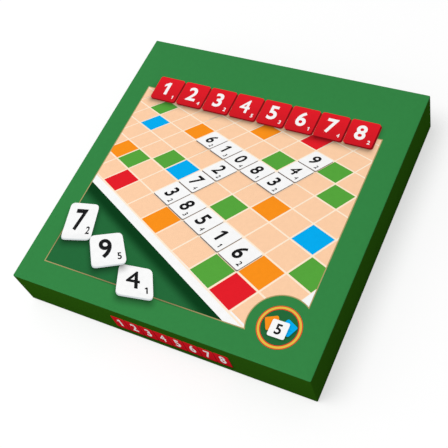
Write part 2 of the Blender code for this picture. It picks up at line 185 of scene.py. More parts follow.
class Look(Nodes):
    """One material and its nodes."""

    def __init__(self, name, colour, roughness):
        self.material = bpy.data.materials.new(name)
        self.material.use_nodes = True
        self.material.diffuse_color = (*colour, 1)
        super().__init__(self.material.node_tree)
        self.shader = self.tree.nodes["Principled BSDF"]
        self.colour(colour)
        self.rough(roughness)

    def set(self, **values):
        """Sets inputs of the shader, with _ for each space in their names."""
        for key, value in values.items():
            self.shader.inputs[key.replace("_", " ")].default_value = value

    def colour(self, value):
        self.feed(self.shader.inputs["Base Color"], value)

    def rough(self, value):
        self.feed(self.shader.inputs["Roughness"], value)

    def bump(self, height, distance, strength):
        """Adds a relief in metres on top of the one that is there."""
        node = self.add("ShaderNodeBump")
        node.inputs["Strength"].default_value = strength
        node.inputs["Distance"].default_value = distance
        self.feed(node.inputs["Height"], height)
        old = self.shader.inputs["Normal"]
        if old.is_linked:
            self.feed(node.inputs["Normal"], old.links[0].from_socket)
        self.feed(old, node.outputs["Normal"])


# ---------------------------------------------------------------- plain geometry in the print's plane
def homography(corners):
    """Map of the unit square onto four corners, given in order round it."""
    rows = []
    right = []
    for (u, v), (x, y) in zip(((0, 0), (1, 0), (1, 1), (0, 1)), corners):
        rows.append([u, v, 1, 0, 0, 0, -u * x, -v * x])
        rows.append([0, 0, 0, u, v, 1, -u * y, -v * y])
        right += [x, y]
    solved = np.append(np.linalg.solve(np.array(rows, float), np.array(right, float)), 1)
    return solved.reshape(3, 3)


def through(matrix, points):
    """Points taken through a homography."""
    points = np.asarray(points, float)
    out = np.c_[points, np.ones(len(points))] @ matrix.T
    return out[:, :2] / out[:, 2:]


def rounded(corners, radius, steps=5):
    """Outline of a convex polygon with its corners rounded."""
    corners = np.asarray(corners, float)
    out = []
    count = len(corners)
    for i in range(count):
        a, b, c = corners[i - 1], corners[i], corners[(i + 1) % count]
        into = (a - b) / np.linalg.norm(a - b)
        away = (c - b) / np.linalg.norm(c - b)
        start, end = b + into * radius, b + away * radius
        for k in range(steps + 1):
            t = k / steps
            out.append((1 - t) ** 2 * start + 2 * t * (1 - t) * b + t * t * end)
    return np.array(out)


def box_outline(x0, y0, x1, y1):
    return np.array([(x0, y0), (x1, y0), (x1, y1), (x0, y1)], float)


def tile_corners(left, top, wide, high):
    """Corners of an upright tile, from its lower left one, in the order that a numeral's face needs."""
    return box_outline(left, top + high, left + wide, top)


def disc(x, y, radius, steps=48):
    turn = np.arange(steps) * 2 * math.pi / steps
    return np.c_[x + radius * np.cos(turn), y + radius * np.sin(turn)]


def area(loop):
    """Area of a loop, less than zero if it runs clockwise."""
    x, y = loop.T
    return float(np.sum(x * np.roll(y, -1) - y * np.roll(x, -1)) / 2)


def eased(t):
    """Smooth step from 0 to 1."""
    t = np.clip(t, 0, 1)
    return t * t * (3 - 2 * t)


def inside(points, loops):
    """Which points lie within an odd number of loops."""
    x, y = points[:, 0], points[:, 1]
    found = np.zeros(len(points), bool)
    for loop in loops:
        for (x0, y0), (x1, y1) in zip(loop, np.roll(loop, -1, axis=0)):
            if y0 == y1:
                continue
            crosses = (y0 > y) != (y1 > y)
            found ^= crosses & (x < (x1 - x0) * (y - y0) / (y1 - y0) + x0)
    return found


def outside_by(points, loop):
    """How far points lie outside a loop, less than zero within it."""
    least = np.full(len(points), np.inf)
    for a, b in zip(loop, np.roll(loop, -1, axis=0)):
        edge = b - a
        share = np.clip(((points - a) @ edge) / max(edge @ edge, 1e-12), 0, 1)
        near = a + share[:, None] * edge
        least = np.minimum(least, np.hypot(*(points - near).T))
    return np.where(inside(points, [loop]), -least, least)


def clip(loop, left, top, right, bottom):
    """Polygon cut off at the four sides of a box."""
    points = [np.asarray(p, float) for p in loop]
    for axis, limit, sign in ((0, left, 1), (0, right, -1), (1, top, 1), (1, bottom, -1)):
        out = []
        for a, b in zip(points, points[1:] + points[:1]):
            da, db = sign * (a[axis] - limit), sign * (b[axis] - limit)
            if da >= 0:
                out.append(a)
            if (da >= 0) != (db >= 0):
                out.append(a + (b - a) * da / (da - db))
        points = out
    return np.array(points)


def add_loop(places, edges, loop):
    """Adds a loop to the places and edges that a triangulation starts from."""
    first, count = len(places), len(loop)
    places += [Vector(p) for p in loop]
    edges += [(first + i, first + (i + 1) % count) for i in range(count)]


# ---------------------------------------------------------------- numerals
GLYPH_HEIGHT = 0.69  # of a numeral in Blender's own font
GLYPH_MIDDLE = (0.25, 0.34)
BOLDER = 0.026  # how far a numeral's outline is pushed outward
BOLDER_FOUR = 0.012  # keeps the 4's small hole open
PLAIN_ONE = [(0.21, 0), (0.36, 0), (0.36, 0.69), (0.24, 0.69), (0.07, 0.56), (0.07, 0.42), (0.21, 0.51)]
GLYPHS = {"1": [np.array(PLAIN_ONE)]}  # loops of each numeral that has been used


def glyph(character):
    """Loops of one numeral, from Blender's own plain font but for the 1."""
    if character not in GLYPHS:
        GLYPHS[character] = bolder(font_loops(character), BOLDER_FOUR if character == "4" else BOLDER)
    return GLYPHS[character]


def font_loops(character):
    """Loops of one character of Blender's own plain font, whose lines are one unit high."""
    text = bpy.data.curves.new("numeral", "FONT")
    text.body = character
    text.fill_mode = "NONE"
    text.resolution_u = 4
    holder = link("numeral", text)
    graph = bpy.context.evaluated_depsgraph_get()
    mesh = bpy.data.meshes.new_from_object(holder.evaluated_get(graph))
    places = np.array([v.co[:2] for v in mesh.vertices])
    near = {}
    for edge in mesh.edges:
        a, b = edge.vertices
        near.setdefault(a, []).append(b)
        near.setdefault(b, []).append(a)
    bpy.data.objects.remove(holder)
    bpy.data.curves.remove(text)
    bpy.data.meshes.remove(mesh)

    loops = []
    left = set(near)
    while left:
        following = [min(left)]
        loop = []
        while following:
            loop.append(following[0])
            left.discard(following[0])
            following = [k for k in near[loop[-1]] if k in left]
        loops.append(places[loop])
    return loops


def bolder(loops, grow):
    """Loops pushed outward, and holes inward, by a small step."""
    out = []
    for loop in loops:
        depth = sum(inside(loop[:1], [other])[0] for other in loops if other is not loop)
        turned = loop if (area(loop) > 0) == (depth % 2 == 0) else loop[::-1]
        before, after = np.roll(turned, 1, axis=0), np.roll(turned, -1, axis=0)
        into = turned - before
        away = after - turned
        into /= np.maximum(np.linalg.norm(into, axis=1, keepdims=True), 1e-9)
        away /= np.maximum(np.linalg.norm(away, axis=1, keepdims=True), 1e-9)
        normals = np.c_[into[:, 1] + away[:, 1], -into[:, 0] - away[:, 0]]
        scale = np.maximum(1 + np.sum(into * away, axis=1, keepdims=True), 0.5)
        out.append(turned + normals * grow / scale)
    return out


def numeral(character, face, centre, height):
    """Loops of a numeral set on a face by its homography. Centre and height are shares of that face."""
    scale = height / GLYPH_HEIGHT
    return [through(face, (loop - GLYPH_MIDDLE) * scale + centre) for loop in glyph(character)]


# ---------------------------------------------------------------- printed sheets
class Print:
    """Flat print made of inked regions, later ones on top, and soft printed shadows."""

    def __init__(self, ground):
        self.ground = ground
        self.regions = []
        self.shadows = []
        self.points = []

    def ink(self, loops, colour, fade=None):
        """Inks the inside of loops. A fade is another colour and a function from points to its share."""
        self.regions.append((loops, colour, fade))

    def shadow(self, loop, move, blur, strength):
        """Soft shadow of what is inked next, over all that is inked already."""
        self.shadows.append((len(self.regions), loop + np.array(move), blur, strength))

    def grid(self, x0, y0, x1, y1, step):
        """Extra points where a shade has to change smoothly."""
        xs = np.arange(x0 + step / 2, x1, step)
        ys = np.arange(y0 + step / 2, y1, step)
        self.points += [(x, y) for x in xs for y in ys]

    def triangles(self, border):
        """Places, and triangles between them with their middles, inside a border and cut along each loop."""
        places, edges = [], []
        add_loop(places, edges, border)
        for loops, _, _ in self.regions:
            for loop in loops:
                add_loop(places, edges, loop)
        places += [Vector(p) for p in self.points]
        found = delaunay_2d_cdt(places, edges, [], 0, 1e-4, False)
        spots = np.array([tuple(v) for v in found[0]])
        faces = np.array([f for f in found[2] if len(f) == 3])
        a, b, c = (spots[faces[:, k]] for k in range(3))
        cross = (b[:, 0] - a[:, 0]) * (c[:, 1] - a[:, 1]) - (b[:, 1] - a[:, 1]) * (c[:, 0] - a[:, 0])
        middles = (a + b + c) / 3
        keep = inside(middles, [np.asarray(border, float)]) & (np.abs(cross) > 1e-7)
        faces, cross, middles = faces[keep], cross[keep], middles[keep]
        faces[cross < 0] = faces[cross < 0][:, ::-1]
        return spots, faces, middles

    def levels(self, points):
        """Number of the topmost region over each point, 0 for the ground."""
        out = np.zeros(len(points), int)
        for i, (loops, _, _) in enumerate(self.regions):
            every = np.concatenate(loops)
            low, high = every.min(axis=0), every.max(axis=0)
            near = np.where(np.all((points >= low) & (points <= high), axis=1))[0]
            out[near[inside(points[near], loops)]] = i + 1
        return out

    def colours(self, points, levels):
        """Colour at each point of a region's own ink, with the shadows that fall on it."""
        out = np.zeros((len(points), 3))
        inks = [(self.ground, None)] + [(colour, fade) for _, colour, fade in self.regions]
        for i, (colour, fade) in enumerate(inks):
            here = np.where(levels == i)[0]
            out[here] = colour
            if fade and len(here):
                other, how = fade
                share = how(points[here])[:, None]
                out[here] = out[here] * (1 - share) + np.array(other) * share
        for until, loop, blur, strength in self.shadows:
            low, high = loop.min(axis=0) - blur, loop.max(axis=0) + blur
            near = np.all((points >= low) & (points <= high), axis=1) & (levels <= until)
            here = np.where(near)[0]
            if len(here):
                dark = eased((blur - outside_by(points[here], loop)) / (2 * blur))
                out[here] *= 1 - strength * dark[:, None]
        return out

    def cut(self, border):
        """Places, triangles and the colour at each triangle's corners, inside a border."""
        spots, faces, middles = self.triangles(border)
        corners = spots[faces].reshape(-1, 2)
        colours = self.colours(corners, np.repeat(self.levels(middles), 3))
        return spots, faces, colours.reshape(-1, 3, 3)


# ---------------------------------------------------------------- inks, as the lid shows them
GREEN = srgb(51, 132, 68)
# the top's green ink darkened by painted shade, for the lid's skirt and the wrap's inside
PAINTED_SHADE_SIDE_GREEN = srgb(44, 90, 15)
SHADE_GREEN = srgb(3, 58, 22)
DEEP_GREEN = srgb(34, 104, 56)
PEACH = srgb(253, 207, 168)
LINE = srgb(255, 236, 212)
ORANGE = srgb(250, 145, 25)
LEAF = srgb(85, 165, 60)
BLUE = srgb(0, 172, 240)
RED = srgb(228, 28, 40)
DARK_RED = srgb(132, 8, 18)
WHITE = srgb(249, 249, 249)
TILE_SIDE = srgb(206, 212, 214)
TILE_LINE = srgb(118, 106, 100)
BLACK = srgb(22, 22, 24)
TAN = srgb(176, 158, 108)
GOLD = srgb(228, 190, 70)

# ---------------------------------------------------------------- the print's layout, in print units
# The origin of the top's print is the lid's back left corner, with y towards the front.
PANEL = (76, 203, 913, 918)  # the picture on the lid: its left, top, right and bottom
EDGING = 3.2  # width of the thin line round the picture
RIM_TOP = (583.4, 978.6)  # heights of the white rim's upper edge at the picture's left and right side
RIM_FOOT = (612.0, 1024.0)  # and of its lower edge
RIM_SHADE, SHADE_END = 22, 42  # how far the rim's shade reaches below it, and the length of its soft end

ACROSS, UP = 9, 8  # squares of the slanted board between the four corners of its plane
BOARD_PLANE = [(48, 565), (703, 888), (1070, 329), (470, 160)]
LINES_ACROSS, LINES_UP = range(-9, ACROSS + 8), range(UP + 10)  # lines between squares that may show
LINE_HALF = 0.028  # half a line's width, in squares
SLIVER = 30  # the least area that a square cut off by the picture's side may show
ACCENTS = {  # coloured squares, by column and row
    ORANGE: [(-1, 1), (0, 4), (2, 6), (6, 3), (8, 1), (4, 0)],
    BLUE: [(-2, 3), (2, 2), (8, 3)],
    LEAF: [(0, 1), (1, 2), (-3, 4), (5, 2), (4, 5), (7, 5), (6, 6), (7, 0), (9, 2)],
    RED: [(1, 0), (8, 0), (4, 7)],
}
NUMBER_ROWS = [  # tiles on the board, the far ones first: row, first column, numerals
    (6, 5, "9"), (5, 5, "4"), (4, 1, "61083"), (3, 3, "2"), (2, 3, "7"), (1, 3, "38516"),
]

BADGE = (859.0, 883.0)  # middle of the green bite out of the picture's corner
BITE = 97  # its radius
BADGE_RINGS = ((66, RED), (63.6, GOLD), (56.5, RED), (54, DEEP_GREEN))
BADGE_TILES = (  # colour, place from the badge's middle, side and tilt in degrees
    (ORANGE, (-24, -6), 40, -26),
    (BLUE, (24, -6), 40, 26),
    (WHITE, (0, 6), 52, 0),
)

LOOSE_TILES = [  # numeral, corners from the lower left one, small numeral
    ("7", [(82, 834), (180, 806), (146, 684), (50, 704)], "2"),
    ("4", [(352, 946), (474, 926), (424, 838), (314, 852)], "1"),
    ("9", [(236, 892), (336, 842), (268, 752), (172, 796)], "5"),
]
RED_TILES = 8


def lay_out_picture(sheet):
    """The panel with a game board seen at a slant, its tiles, and the ground below the board's rim."""
    left, top, right, bottom = PANEL
    slope = (RIM_FOOT[1] - RIM_FOOT[0]) / (right - left)

    def below_rim(points):
        depth = points[:, 1] - RIM_FOOT[0] - (points[:, 0] - left) * slope
        return eased((depth - RIM_SHADE) / SHADE_END)

    def above(line):
        """Part of the panel above a sloping line, given by its heights at the panel's sides."""
        y_left, y_right = line
        at_bottom = left + (bottom - y_left) * (right - left) / (y_right - y_left)
        return np.array([(left, top), (right, top), (right, bottom), (at_bottom, bottom), (left, y_left)])

    def ink_shown(loop, colour, least=0.0):
        """Inks what the picture's sides leave of a loop, unless that is less than some area."""
        part = clip(loop, *PANEL)
        if len(part) > 2 and abs(area(part)) >= least:
            sheet.ink([part], colour)

    sheet.ink([box_outline(left - EDGING, top - EDGING, right + EDGING, bottom + EDGING)], TAN)
    sheet.ink([box_outline(*PANEL)], SHADE_GREEN, (DEEP_GREEN, below_rim))
    sheet.grid(left, 600, 760, bottom, 8)  # the ground below the rim
    sheet.ink([above(RIM_FOOT)], WHITE)
    sheet.ink([above(RIM_TOP)], PEACH)
    sheet.grid(*PANEL, 42)

    plane = homography(BOARD_PLANE)
    # lines between squares, in both directions, long enough to cross the picture
    bands = [box_outline((k - LINE_HALF) / ACROSS, 0, (k + LINE_HALF) / ACROSS, 2.2) for k in LINES_ACROSS]
    bands += [box_outline(-0.9, (k - LINE_HALF) / UP, 1.6, (k + LINE_HALF) / UP) for k in LINES_UP]
    for band in bands:
        ink_shown(through(plane, band), LINE)

    def cell(i, j, inset):
        """A square of the board, smaller by an inset on each side."""
        return through(plane, box_outline((i + inset) / ACROSS, (j + inset) / UP,
                                          (i + 1 - inset) / ACROSS, (j + 1 - inset) / UP))

    for colour, squares in ACCENTS.items():
        for i, j in squares:
            ink_shown(cell(i, j, 0.035), colour, SLIVER)
    sheet.ink([np.array([(right, 742), (right, 830), (862, 830)], float)], WHITE)  # the rim's other side

    for j, first, digits in NUMBER_ROWS:
        for i, digit in enumerate(digits, first):
            tile = rounded(cell(i, j, 0.025), radius=5, steps=3)
            sheet.shadow(tile, (1.5, 6.0), blur=5, strength=0.3)
            side = rounded(cell(i, j, 0.02) + np.array([0.3, 3.6]), radius=5, steps=3)
            sheet.ink([side], TILE_LINE)
            sheet.ink([tile], WHITE)
            face = homography(cell(i, j, 0.05))
            sheet.ink(numeral(digit, face, (0.44, 0.52), 0.56), BLACK)
            sheet.ink(numeral(str(1 + (i + 2 * j) % 4), face, (0.84, 0.20), 0.2), BLACK)
            low, high = tile.min(axis=0), tile.max(axis=0)
            sheet.grid(low[0] - 6, low[1] - 2, high[0] + 10, high[1] + 16, 6)


def lay_out_badge(sheet):
    """Green bite out of the picture's corner, and a ringed disc with a fan of three small tiles in it."""
    x, y = BADGE
    right, bottom = PANEL[2] + EDGING, PANEL[3] + EDGING
    sheet.ink([disc(x, y, BITE + EDGING)], TAN)
    sheet.ink([disc(x, y, BITE)], GREEN)
    for cover in ((x, y, 925, 990), (right, y - 101, x + 120, y + 100), (x - 101, bottom, x + 100, y + 110)):
        sheet.ink([box_outline(*cover)], GREEN)  # the picture's corner, and what of the ring is outside it
    for radius, colour in BADGE_RINGS:
        sheet.ink([disc(x, y, radius)], colour)
    sheet.grid(x - 60, y - 60, x + 60, y + 60, 5)
    for colour, place, side, tilt in BADGE_TILES:
        turn = math.radians(tilt)
        along = np.array([math.cos(turn), math.sin(turn)]) * side / 2
        down = np.array([-math.sin(turn), math.cos(turn)]) * side / 2
        middle = np.array(BADGE) + place
        corners = np.array([middle - along + down, middle + along + down,
                            middle + along - down, middle - along - down])
        tile = rounded(corners, radius=6, steps=3)
        sheet.shadow(tile, (1.5, 4.0), blur=5, strength=0.55)
        sheet.ink([tile], colour)
    sheet.ink(numeral("5", homography(corners), (0.5, 0.5), 0.58), BLACK)  # on the last tile


def lay_out_loose_tiles(sheet):
    """Three white tiles lying in a chain by the lid's front left corner."""
    for digit, corners, small in LOOSE_TILES:
        corners = np.array(corners, float)
        body = rounded(corners, radius=17)
        sheet.shadow(body, (9.0, 20.0), blur=20, strength=0.62)
        sheet.shadow(body, (3.0, 8.0), blur=7, strength=0.5)
        sheet.ink([rounded(corners + np.array([1.5, 5.0]), radius=17)], TILE_SIDE)

        def near_edge(points, middle=corners.mean(axis=0)):
            return np.clip(((points - middle) @ np.array([0.3, 0.95]) - 40) / 50, 0, 1) * 0.4

        sheet.ink([body], WHITE, (TILE_SIDE, near_edge))
        face = homography(corners)
        sheet.ink(numeral(digit, face, (0.44, 0.53), 0.56), BLACK)
        sheet.ink(numeral(small, face, (0.82, 0.24), 0.2), BLACK)
    sheet.grid(20, 670, 520, 1000, 9)  # as far as their shadows reach


def lay_out_red_row(sheet, x0, y0, pitch, wide, high, radius, depth, small):
    """Row of red tiles with white numerals, from its top left corner.

    Depth is how far the tiles' dark edges show. Small is whether they have a small numeral each as well.
    """
    tiles = [tile_corners(x0 + pitch * k, y0, wide, high) for k in range(RED_TILES)]
    for blur, move, strength in ((0.2, (0.05, 0.18), 0.5), (0.08, (0.03, 0.11), 0.55)):  # in widths of a tile
        for corners in tiles:
            sheet.shadow(rounded(corners, radius), np.array(move) * wide, blur * wide, strength)

    def gleam(points):
        return np.clip((points[:, 1] - y0) / high, 0, 1) * 0.3

    place, height = ((0.46, 0.52), 0.54) if small else ((0.5, 0.5), 0.6)
    for k, corners in enumerate(tiles):
        sheet.ink([rounded(corners + np.array([depth, 0.8 * depth]), radius)], DARK_RED)
        sheet.ink([rounded(corners, radius)], RED, (DARK_RED, gleam))
        face = homography(corners)
        sheet.ink(numeral(str(k + 1), face, place, height), WHITE)
        if small:
            sheet.ink(numeral(str(1 + (3 * k) % 5), face, (0.84, 0.2), 0.14), WHITE)


def top_print():
    """Print on the lid's top."""
    sheet = Print(GREEN)
    lay_out_picture(sheet)
    lay_out_badge(sheet)
    lay_out_loose_tiles(sheet)
    lay_out_red_row(sheet, 100, 147, pitch=99.9, wide=93.5, high=95, radius=9, depth=6, small=True)
    for shaded in ((84, 225, 930, 300), (880, 130, 930, 225)):  # round the row, as far as its shadows reach
        sheet.grid(*shaded, 8)
    return sheet


def front_print():
    """Print on the front skirt, in print units from its top left corner."""
    # its ground is the lid's green darkened by painted shade
    sheet = Print(PAINTED_SHADE_SIDE_GREEN)
    lay_out_red_row(sheet, 344, 47, pitch=49.8, wide=47.4, high=76, radius=5, depth=2.2, small=False)
    for shaded in ((326, 110, 766, 150), (326, 40, 345, 110), (742, 40, 766, 110)):
        sheet.grid(*shaded, 5)
    return sheet


# ---------------------------------------------------------------- lid wrap, as part.py makes it
FOLD = 0.0007  # radius of the wrap's folds
PAPER = 0.0002
GLUE = 0.0002
BOARD = 0.0016
WALL = BOARD + 2 * (PAPER + GLUE)
CORNER = 0.0010  # radius of the lid's upright corners
LEAST_CORNER = 0.0002  # and the least one on the inside
TURN_IN = 0.016  # height that the wrap is turned in at the skirt's foot
TUCK = 0.013  # how far the wrap's corner flaps reach round the lid's corners
ARC = 5  # steps of a corner
MERGE = 2e-6  # points this near each other are merged, which joins the print to the rings


def ring(inset, z):
    """Ring of points round the lid at a height."""
    half = LID_WIDTH / 2 - inset
    radius = max(CORNER - inset, LEAST_CORNER)
    out = []
    for k, (sx, sy) in enumerate(((-1, -1), (1, -1), (1, 1), (-1, 1))):
        start = math.pi + k * math.pi / 2
        for n in range(ARC + 1):
            turn = start + math.pi / 2 * n / ARC
            out.append((sx * (half - radius) + radius * math.cos(turn),
                        sy * (half - radius) + radius * math.sin(turn), z))
    return out


def fold(inset, z, run, rise, steps=4):
    """Insets and heights round a quarter of a fold. Run and rise are the directions it goes in, 1 or -1."""
    angles = [math.pi / 2 * k / steps for k in range(steps + 1)]
    return [(inset + run * FOLD * (1 - math.cos(a)), z + rise * FOLD * math.sin(a)) for a in angles]


def wrap_levels():
    """Insets and heights of the wrap's rings: those of its top fold, then those round its foot and inside."""
    outside = fold(0, LID_TOP - FOLD, 1, 1)[::-1]
    hem = fold(0, SKIRT_FOOT + FOLD, 1, -1)
    rise = fold(WALL, SKIRT_FOOT + FOLD, -1, -1)[::-1]
    turned = WALL - PAPER
    inner = [(WALL, SKIRT_FOOT + TURN_IN), (turned, SKIRT_FOOT + TURN_IN), (turned, SKIRT_FOOT + PAPER),
             (PAPER, SKIRT_FOOT + PAPER), (PAPER, LID_TOP - PAPER)]
    return outside, hem + rise + inner


def fill_print(bm, sheet, border, paint, to_space, facing, finish):
    """Fills a border with a sheet's triangles, turned to face one way."""
    spots, faces, colours = sheet.cut(border)
    verts = [bm.verts.new(to_space(x, y)) for x, y in spots]
    for face, colour in zip(faces.tolist(), colours):
        trio = [verts[k] for k in face]
        a, b, c = (v.co for v in trio)
        if (b - a).cross(c - a).dot(Vector(facing)) < 0:
            trio.reverse()
            colour = colour[::-1]
        made = bm.faces.new(trio)
        made.material_index = finish
        paint(made, colour)
    remove_loose(bm, verts)


def make_lid_wrap(finishes):
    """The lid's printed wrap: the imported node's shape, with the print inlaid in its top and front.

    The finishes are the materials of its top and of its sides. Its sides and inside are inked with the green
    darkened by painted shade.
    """
    top, side = 0, 1
    half = LID_WIDTH / 2
    outside, rest = wrap_levels()
    bm = bmesh.new()
    # colour at each corner: the print, and on the sides and inside the green with painted shade
    ink = bm.loops.layers.float_color.new("ink")

    def paint(face, colours):
        for loop, colour in zip(face.loops, colours):
            loop[ink] = (*colour, 1)

    rings = [[bm.verts.new(p) for p in ring(inset, z)] for inset, z in outside + rest]
    count = len(rings[0])
    flat = len(outside) - 1  # the skirt's flat band starts at this ring
    gap = (ARC, ARC + 1)  # and its front quad lies between these two points of a ring
    for n, (upper, lower) in enumerate(zip(rings, rings[1:])):
        # the top fold keeps the top's green; the skirt, its foot and the inside get the green with painted
        # shade
        finish, colour = (top, GREEN) if n < flat - 1 else (side, PAINTED_SHADE_SIDE_GREEN)
        for i in range(count):
            j = (i + 1) % count
            if n == flat and (i, j) == gap:
                continue
            face = bm.faces.new((upper[i], lower[i], lower[j], upper[j]))
            face.material_index = finish
            folded = (upper[i].co - lower[i].co).length < FOLD
            face.smooth = folded or i % (ARC + 1) != ARC  # the flat sides stay flat between the folds
            paint(face, [colour] * 4)
    paint(bm.faces.new(rings[-1]), [GREEN] * count)  # the inside of the top

    border = [((v.co.x + half) / UNIT, (half - v.co.y) / UNIT) for v in rings[0]]
    fill_print(bm, top_print(), border, paint,
               lambda x, y: (x * UNIT - half, half - y * UNIT, LID_TOP), (0, 0, 1), top)
    upper, lower = rings[flat], rings[flat + 1]
    corners = [upper[gap[0]], upper[gap[1]], lower[gap[1]], lower[gap[0]]]
    border = [((v.co.x + half) / UNIT, (LID_TOP - v.co.z) / UNIT) for v in corners]
    fill_print(bm, front_print(), border, paint,
               lambda x, y: (x * UNIT - half, -half, LID_TOP - y * UNIT), (0, -1, 0), side)
    bmesh.ops.remove_doubles(bm, verts=bm.verts, dist=MERGE)
    bmesh.ops.recalc_face_normals(bm, faces=bm.faces)
    made = to_object(bm, "lid_print_wrap", finishes)
    made.data.set_sharp_from_angle(angle=math.radians(50))
    return made


# ---------------------------------------------------------------- numbers on the tiles in the box
def add_foil(bm, loops, bottom, top, side):
    """Closed thin body over a numeral's loops. The numeral is cut up at the scale of its tile's side."""
    places, edges = [], []
    for loop in loops:
        add_loop(places, edges, loop / side)
    found = delaunay_2d_cdt(places, edges, [], 0, 1e-6, False)
    spots = np.array([tuple(v) for v in found[0]]) * side
    faces = [f for f in found[2] if len(f) == 3]
    middles = np.array([spots[list(f)].mean(axis=0) for f in faces])
    faces = [f for f, keep in zip(faces, inside(middles, loops)) if keep]
    low = [bm.verts.new((x, y, bottom)) for x, y in spots]
    high = [bm.verts.new((x, y, top)) for x, y in spots]
    used = {}  # edges of the faces, each in its own direction, in order
    for f in faces:
        bm.faces.new([high[k] for k in f])
        bm.faces.new([low[k] for k in reversed(f)])
        used.update(dict.fromkeys(zip(f, f[1:] + f[:1])))
    for a, b in used:
        if (b, a) not in used:
            bm.faces.new((high[a], low[a], low[b], high[b]))
    remove_loose(bm, low + high)


def tile_numerals(stacks):
    """Numerals on the top tile of each stack: a thin foil pressed into the plastic."""
    look = Look("tile_ink", srgb(26, 26, 30), 0.4)
    look.rough(look.clouds(700, 0.32, 0.5, detail=2))
    look.colour(look.mix(look.spread(look.noise(1800, 2, 0.6), 0.4, 0.8), srgb(24, 24, 28), srgb(44, 44, 48)))
    sunk, proud = 0.0001, 0.00004
    bm = bmesh.new()
    for n, name in enumerate(stacks):
        low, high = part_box(name)
        face = homography(box_outline(low[0], low[1], high[0], high[1]))
        digits = [(str((7 * n + 3) % 10), (0.46, 0.53), 0.52), (str(1 + (3 * n) % 8), (0.82, 0.2), 0.17)]
        for digit, centre, height in digits:
            loops = numeral(digit, face, centre, height)
            add_foil(bm, loops, high[2] - sunk, high[2] + proud, high[0] - low[0])
    bmesh.ops.recalc_face_normals(bm, faces=bm.faces)
    made = to_object(bm, "tile_numerals", [look.material])
    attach(made, "insert")


# ---------------------------------------------------------------- materials
BOARD_MIDDLE = (-0.0337, 0.0337)  # of the folded playing board, which the rules sheet lies on
BOARD_SIDE = 0.1758


def print_look(name, specular, tucked):
    """Printed paper under a satin laminate: fine fibre, a little waviness, faint uneven ink.

    Tucked paper shows the step where its corner flaps end under the paper of the lid's right and left side.
    """
    look = Look(name, GREEN, 0.42)
    look.set(Specular_IOR_Level=specular)
    # the ink attribute holds the print's colours, and painted shade on the lid's sides
    ink = look.add("ShaderNodeAttribute", attribute_name="ink").outputs["Color"]
    look.colour(look.mix(1.0, ink, look.clouds(260, 0.98, 1.012), "MULTIPLY"))
    look.rough(look.clouds(70, 0.38, 0.5))
    look.bump(look.noise(1400, 2, 0.5), 0.00002, 0.35)
    look.bump(look.noise(45, 2, 0.5), 0.00012, 0.25)
    if tucked:
        start = LID_WIDTH / 2 - TUCK
        step = look.spread(look.math("ABSOLUTE", look.axis("Y")), start, start + PAPER)
        look.bump(step, PAPER, 0.6)
    return look.material


def paper_look(name, colour, warm):
    """Uncoated pale paper: fibres, flecks and soft mottling."""
    look = Look(name, colour, 0.72)
    look.set(Specular_IOR_Level=0.3)
    cloud = look.noise(340, 4, 0.6)
    fibre = look.noise(1500, 3, 0.6, where=look.stretched((1, 0.25, 1)))
    tone = look.mix(look.spread(cloud, 0.35, 0.65), colour, warm)
    look.colour(look.mix(look.spread(fibre, 0.55, 0.75, 0, 0.25), tone, tuple(c * 0.86 for c in colour)))
    look.rough(look.spread(cloud, 0.3, 0.7, 0.64, 0.8))
    look.bump(fibre, 0.000012, 0.5)
    return look.material


def greyboard_look():
    """Recycled board: grey brown pulp with dark and pale flecks."""
    base, dark, pale = srgb(172, 166, 154), srgb(132, 126, 116), srgb(204, 200, 190)
    look = Look("greyboard", base, 0.88)
    pulp = look.noise(220, 5, 0.65)
    fleck = look.noise(1100, 2, 0.6, where=look.stretched((1, 0.4, 0.4)))
    tone = look.mix(look.spread(pulp, 0.35, 0.7), base, tuple(c * 0.88 for c in base))
    tone = look.mix(look.spread(fleck, 0.62, 0.7, 0, 0.7), tone, dark)
    look.colour(look.mix(look.spread(fleck, 0.36, 0.28, 0, 0.6), tone, pale))
    look.bump(fleck, 0.00006, 0.6)
    return look.material


def formed_look():
    """Vacuum formed white sheet: glossy, with faint draw marks."""
    look = Look("insert_plastic", srgb(236, 236, 232), 0.28)
    look.set(Subsurface_Weight=0.08, Subsurface_Radius=(0.002, 0.002, 0.002))
    look.colour(look.mix(look.clouds(30, rough=0.5), srgb(238, 238, 234), srgb(234, 235, 231)))
    look.rough(look.clouds(160, 0.22, 0.36))
    look.bump(look.noise(60, 2, 0.5), 0.00004, 0.3)
    look.bump(look.noise(1600, 1, 0.5), 0.00001, 0.3)
    return look.material


def moulded_look(name, colour, rough_low, rough_high, grain):
    """Moulded plastic: slight flow marks in its colour and a spark-eroded skin."""
    look = Look(name, colour, rough_low)
    flow = look.noise(90, 3, 0.55, 0.6, look.stretched((1, 0.35, 1)))
    look.colour(look.mix(look.spread(flow, 0.3, 0.7), colour, tuple(c * 0.93 for c in colour)))
    look.rough(look.clouds(300, rough_low, rough_high))
    look.bump(look.noise(grain, 2, 0.5), 0.00002, 0.5)
    return look.material


def tape_look():
    """Black book cloth: plain weave."""
    look = Look("cloth_tape", srgb(38, 40, 42), 0.8)
    look.set(Sheen_Weight=0.15)
    threads = 2 * math.pi / 0.0008
    along = look.math("SINE", look.math("MULTIPLY", look.axis("X"), threads))
    over = look.math("SINE", look.math("MULTIPLY", look.axis("Y"), threads))
    weave = look.math("MULTIPLY", along, over)
    look.colour(look.mix(look.spread(weave, -0.6, 0.6), srgb(28, 30, 32), srgb(56, 58, 60)))
    look.bump(weave, 0.00006, 0.7)
    return look.material


